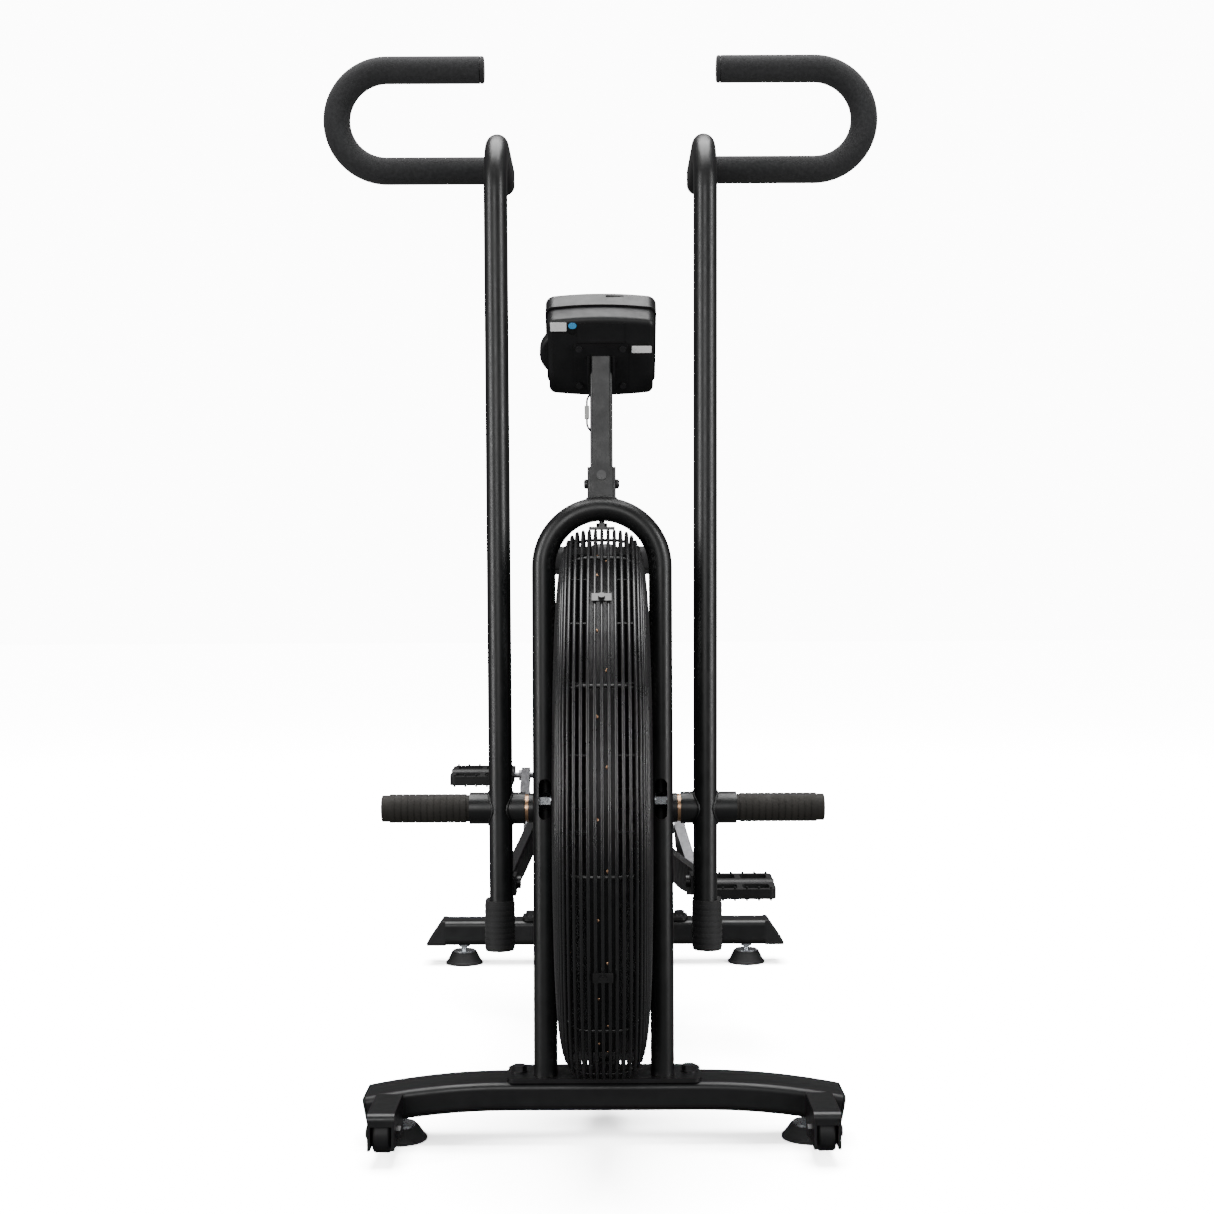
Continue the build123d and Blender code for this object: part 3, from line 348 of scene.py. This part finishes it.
def make_cage(materials):
    rings = cage_rings()
    for name, side in (("cage_left", 1), ("cage_right", -1)):
        curve = bpy.data.curves.new(name + "_wires", "CURVE")
        curve.dimensions = "3D"
        curve.bevel_depth = WIRE_R
        curve.bevel_resolution = 2
        for x, r, nx, nr in rings if side > 0 else rings[1:]:
            ring_wires(curve, side, x, r)
        for i in range(SECTORS):
            angle = radians(FIRST_WIRE + 360 / SECTORS * i)
            line = []
            for x, r, nx, nr in rings:
                inner_r = r + nr * (2 * WIRE_R - 0.0002)
                inner_x = x + nx * (2 * WIRE_R - 0.0002)
                line.append((side * inner_x, FAN.y - inner_r * cos(angle), FAN.z + inner_r * sin(angle)))
            add_wire(curve, line, False)
        curve.use_fill_caps = True
        piece = add_piece(name + "_wires", curve, "frame", materials["wire_black"])
        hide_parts(name)


def make_rivets(materials):
    """Copper-tinted rivet heads in the fan's band, left and right of its middle in turn."""
    count, band_r, offset = 34, 0.302, 0.006
    bm = bmesh.new()
    for i in range(count):
        turn = side_turn(radians(360 / count * i + 3))
        place = turn @ Matrix.Translation((offset if i % 2 else -offset, 0, band_r))
        bmesh.ops.create_uvsphere(bm, u_segments=14, v_segments=8, radius=0.0024,
                                  matrix=place @ Matrix.Diagonal((1, 1, 0.7, 1)))
    data = bmesh_data("fan_rivets", bm)
    smooth(data)
    add_piece("fan_rivets", data, "fan", materials["copper"])


# ---------------------------------------------------------------- labels on the console's back
CONSOLE_HALF_T = 0.013    # centre of the front shell, above the plane where the two shells meet
CONSOLE_BACK = -0.026


def console_matrix(x, up, lift):
    """A place on the console's back: x to the viewer's right, up the face, and lift proud of it."""
    inwards = Vector(joints["button_1_press"]["axis"])
    low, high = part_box("console_front")
    middle = (Vector(low) + Vector(high)) / 2 + inwards * CONSOLE_HALF_T
    right = Vector((1, 0, 0))
    upwards = inwards.cross(right)
    place = middle - inwards * (CONSOLE_BACK - lift) + right * x + upwards * up
    turn = Matrix((right, upwards, inwards)).transposed().to_4x4()
    return Matrix.Translation(place) @ turn


def rounded_outline(width, height, radius, steps=8):
    points = []
    for corner in range(4):
        middle = Vector((width / 2 - radius, height / 2 - radius))
        middle.x *= 1 if corner in (0, 3) else -1
        middle.y *= 1 if corner in (0, 1) else -1
        for i in range(steps + 1):
            angle = pi / 2 * (corner + i / steps)
            points.append((middle.x + radius * cos(angle), middle.y + radius * sin(angle)))
    return points


def sticker(name, width, height, radius, x, up, material):
    """A blank adhesive label with rounded corners."""
    thickness = 0.00025
    bm = bmesh.new()
    face = bm.faces.new([bm.verts.new((px, py, 0)) for px, py in rounded_outline(width, height, radius)])
    grown = bmesh.ops.extrude_face_region(bm, geom=[face])
    moved = [item for item in grown["geom"] if isinstance(item, bmesh.types.BMVert)]
    bmesh.ops.translate(bm, verts=moved, vec=(0, 0, thickness))
    bmesh.ops.recalc_face_normals(bm, faces=bm.faces)
    bmesh.ops.transform(bm, matrix=console_matrix(x, up, 0.00005), verts=bm.verts)
    add_piece(name, bmesh_data(name, bm), "frame", material)


def make_stickers(materials):
    sticker("blank_label_upper", 0.0196, 0.0128, 0.0012, -0.0515, 0.0490, materials["label_white"])
    sticker("blank_label_side", 0.0243, 0.0104, 0.0012, 0.0499, 0.0150, materials["label_white"])
    sticker("blank_dot", 0.0100, 0.0086, 0.00425, -0.0345, 0.0505, materials["label_blue"])


# ---------------------------------------------------------------- weld beads
ARM_HALF_W, ARM_FLAT = 0.01425, 0.00825
ARM_X, HUB_R = 0.1263, 0.0195
PIVOT_Z = joints["arm_left_swing"]["pos_m"][2]
BEAD_R = 0.0017


def bead(name, points, body, material, closed=True):
    """A run of weld, rippled along its length."""
    curve = bpy.data.curves.new(name, "CURVE")
    curve.dimensions = "3D"
    curve.bevel_depth = BEAD_R
    curve.bevel_resolution = 2
    spline = curve.splines.new("POLY")
    spline.points.add(len(points) - 1)
    for i, point in enumerate(points):
        spline.points[i].co = (*point, 1)
        spline.points[i].radius = 1.0 + 0.16 * cos(pi * i)
    spline.use_cyclic_u = closed
    add_piece(name, curve, body, material)


def hub_weld(side, towards):
    """Where the pivot hub meets the arm's flat-oval tube."""
    points, count = [], 56
    for i in range(count):
        angle = 2 * pi * i / count
        y, z = HUB_R * cos(angle), HUB_R * sin(angle)
        past = max(0.0, abs(y) - ARM_FLAT)
        half = (max(ARM_HALF_W ** 2 - past ** 2, 0)) ** 0.5
        points.append((side * (ARM_X + towards * half), HOOP_Y + y, PIVOT_Z + z))
    return points


def socket_weld():
    """Round the mast socket's foot, over the curve of the hoop's top."""
    low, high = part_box("mast_socket")
    half, corner = (high[0] - low[0]) / 2, 0.004
    hoop_top, arch_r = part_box("hoop")[1][2], (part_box("hoop")[1][0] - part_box("hoop")[0][0]) / 2
    points = []
    for x, y in rounded_outline(2 * half, 2 * half, corner, 3):
        points.append((x, y))
    dense = []
    for i, (x, y) in enumerate(points):
        next_x, next_y = points[(i + 1) % len(points)]
        runs = max(1, round(hypot(next_x - x, next_y - y) / 0.0022))
        dense += [(x + (next_x - x) * k / runs, y + (next_y - y) * k / runs) for k in range(runs)]
    return [(x, HOOP_Y + y, hoop_top - arch_r + (arch_r ** 2 - x ** 2) ** 0.5) for x, y in dense]


def make_welds(materials):
    coat = materials["frame_black"]
    bead("socket_weld", socket_weld(), "frame", coat)
    for side, word in ((1, "left"), (-1, "right")):
        bead(f"hub_weld_outer_{word}", hub_weld(side, 1), f"arm_{word}", coat)
        bead(f"hub_weld_inner_{word}", hub_weld(side, -1), f"arm_{word}", coat)


# ---------------------------------------------------------------- saddle
def make_saddle(materials):
    """The pad's CAD solid, remeshed and puffed up as cloth over foam."""
    source = nodes["saddle_pad"]
    data = source.data.copy()
    data.name = "saddle_cushion"
    data.materials.clear()
    piece = bpy.data.objects.new("saddle_cushion", data)
    bpy.context.scene.collection.objects.link(piece)
    bpy.context.view_layer.objects.active = piece
    low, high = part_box("saddle_pad")
    low, high = Vector(low), Vector(high)
    middle = (low + high) / 2
    for vertex in data.vertices:
        offset = vertex.co - middle
        vertex.co = middle + Vector((offset.x * 0.97, offset.y * 0.98, offset.z * 0.92))
    remesh = piece.modifiers.new("remesh", "REMESH")
    remesh.mode = "VOXEL"
    remesh.voxel_size = 0.005
    apply_modifiers(piece)
    data = piece.data
    start = [vertex.co.copy() for vertex in data.vertices]
    inflate(piece)
    data = piece.data
    # a dished top with a pressure channel down the middle
    height = high.z - low.z
    for vertex, before in zip(data.vertices, start):
        step = vertex.co - before
        if step.length > 0.006:
            vertex.co = before + step * (0.006 / step.length)
        along = (vertex.co.y - low.y) / (high.y - low.y)
        top = max(0.0, (vertex.co.z - low.z) / height)
        across = (vertex.co.x - middle.x) / ((high.x - low.x) / 2)
        channel = 0.005 * pow(2.718, -(across / 0.09) ** 2) * sin(pi * min(1, max(0, along))) * top
        waist = 0.006 * sin(pi * along) ** 2 * top
        vertex.co.z -= channel + waist * (1 - across ** 2)
        vertex.co.x = min(max(vertex.co.x, low.x), high.x)
        vertex.co.y = min(max(vertex.co.y, low.y), high.y)
        vertex.co.z = min(max(vertex.co.z, low.z + 0.0003), high.z)
    smooth(data)
    subdivide = piece.modifiers.new("subdivide", "SUBSURF")
    subdivide.levels = 1
    subdivide.render_levels = 1
    data.materials.append(materials["saddle_vinyl"])
    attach(piece, "saddle")
    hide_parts("saddle_pad")


def apply_modifiers(piece):
    graph = bpy.context.evaluated_depsgraph_get()
    mesh = bpy.data.meshes.new_from_object(piece.evaluated_get(graph))
    piece.modifiers.clear()
    piece.data = mesh


def inflate(piece):
    cloth = piece.modifiers.new("cloth", "CLOTH")
    settings = cloth.settings
    settings.use_pressure = True
    settings.uniform_pressure_force = 4
    settings.effector_weights.gravity = 0
    settings.quality = 5
    cloth.point_cache.frame_start = 1
    cloth.point_cache.frame_end = 20
    for number in range(1, 21):
        bpy.context.scene.frame_set(number)
    apply_modifiers(piece)
    bpy.context.scene.frame_set(1)


# ---------------------------------------------------------------- studio
WHITE = 12.0              # what the camera sees of the backdrop, far above the lights' own level
AMBIENT = 0.10            # what the backdrop gives the object as light
FLOOR_GLOW = 0.5          # the floor's own level beside the object, for the camera
FLOOR_GAIN = 11.5         # how strongly the camera sees light and shadow on the floor
FLOOR_NEAR, FLOOR_FAR = 0.75, 2.4     # from the middle out, where the floor fades into the backdrop


def camera_only(tree, bright, dim, socket):
    """A stage value that is bright for the camera and dim as a light source; returns its bright input."""
    path = tree.nodes.new("ShaderNodeLightPath")
    level = tree.nodes.new("ShaderNodeMapRange")
    level.inputs["To Min"].default_value = dim
    level.inputs["To Max"].default_value = bright
    tree.links.new(path.outputs["Is Camera Ray"], level.inputs["Value"])
    tree.links.new(level.outputs["Result"], socket)
    return level.inputs["To Max"]


def floor_material():
    """White paper that shows soft shadows near the object and is as bright as the backdrop further out."""
    paper = bpy.data.materials.new("floor_paper")
    paper.use_nodes = True
    tree = paper.node_tree
    tree.nodes.remove(tree.nodes["Principled BSDF"])
    diffuse = tree.nodes.new("ShaderNodeBsdfDiffuse")
    camera_only(tree, FLOOR_GAIN, 0.10, diffuse.inputs["Color"])
    place = add_node(paper, "ShaderNodeTexCoord")
    distance = add_node(paper, "ShaderNodeVectorMath")
    distance.operation = "LENGTH"
    link(paper, place.outputs["Object"], distance.inputs[0])
    fade = add_node(paper, "ShaderNodeMapRange")
    fade.interpolation_type = "SMOOTHSTEP"
    fade.inputs["From Min"].default_value = FLOOR_NEAR
    fade.inputs["From Max"].default_value = FLOOR_FAR
    fade.inputs["To Min"].default_value = FLOOR_GLOW
    fade.inputs["To Max"].default_value = WHITE
    link(paper, distance.outputs["Value"], fade.inputs["Value"])
    glow = tree.nodes.new("ShaderNodeEmission")
    link(paper, fade.outputs["Result"], camera_only(tree, WHITE, 0.0, glow.inputs["Strength"]))
    both = tree.nodes.new("ShaderNodeAddShader")
    link(paper, diffuse.outputs["BSDF"], both.inputs[0])
    link(paper, glow.outputs["Emission"], both.inputs[1])
    link(paper, both.outputs["Shader"], tree.nodes["Material Output"].inputs["Surface"])
    return paper


def make_studio():
    world = bpy.data.worlds.new("world")
    bpy.context.scene.world = world
    world.use_nodes = True
    background = world.node_tree.nodes["Background"]
    background.inputs["Color"].default_value = (1, 1, 1, 1)
    camera_only(world.node_tree, WHITE, AMBIENT, background.inputs["Strength"])
    bm = bmesh.new()
    bmesh.ops.create_grid(bm, x_segments=1, y_segments=1, size=30)
    floor = bpy.data.objects.new("floor", bmesh_data("floor", bm))
    bpy.context.scene.collection.objects.link(floor)
    floor.data.materials.append(floor_material())
    add_area("top_box", (0, HOOP_Y + 0.5, 4.2), (0, HOOP_Y + 0.5, 0), 3.2, 3.2, 270)
    add_area("left_box", (-2.7, HOOP_Y - 1.5, 1.25), (0, HOOP_Y, 0.9), 0.5, 2.6, 66)
    add_area("right_box", (2.7, HOOP_Y - 1.5, 1.25), (0, HOOP_Y, 0.9), 0.5, 2.6, 66)
    add_area("front_fill", (-0.5, HOOP_Y - 3.8, 1.5), (0, HOOP_Y, 0.6), 1.4, 1.4, 40)


def add_area(name, place, target, width, height, power):
    data = bpy.data.lights.new(name, "AREA")
    data.shape = "RECTANGLE"
    data.size = width
    data.size_y = height
    data.energy = power
    light = bpy.data.objects.new(name, data)
    bpy.context.scene.collection.objects.link(light)
    light.location = place
    light.rotation_euler = (Vector(target) - Vector(place)).to_track_quat("-Z", "Y").to_euler()


make_camera()
all_materials = make_materials()
dress_cad_nodes(all_materials)
make_cage(all_materials)
make_rivets(all_materials)
make_stickers(all_materials)
make_welds(all_materials)
make_saddle(all_materials)
make_studio()
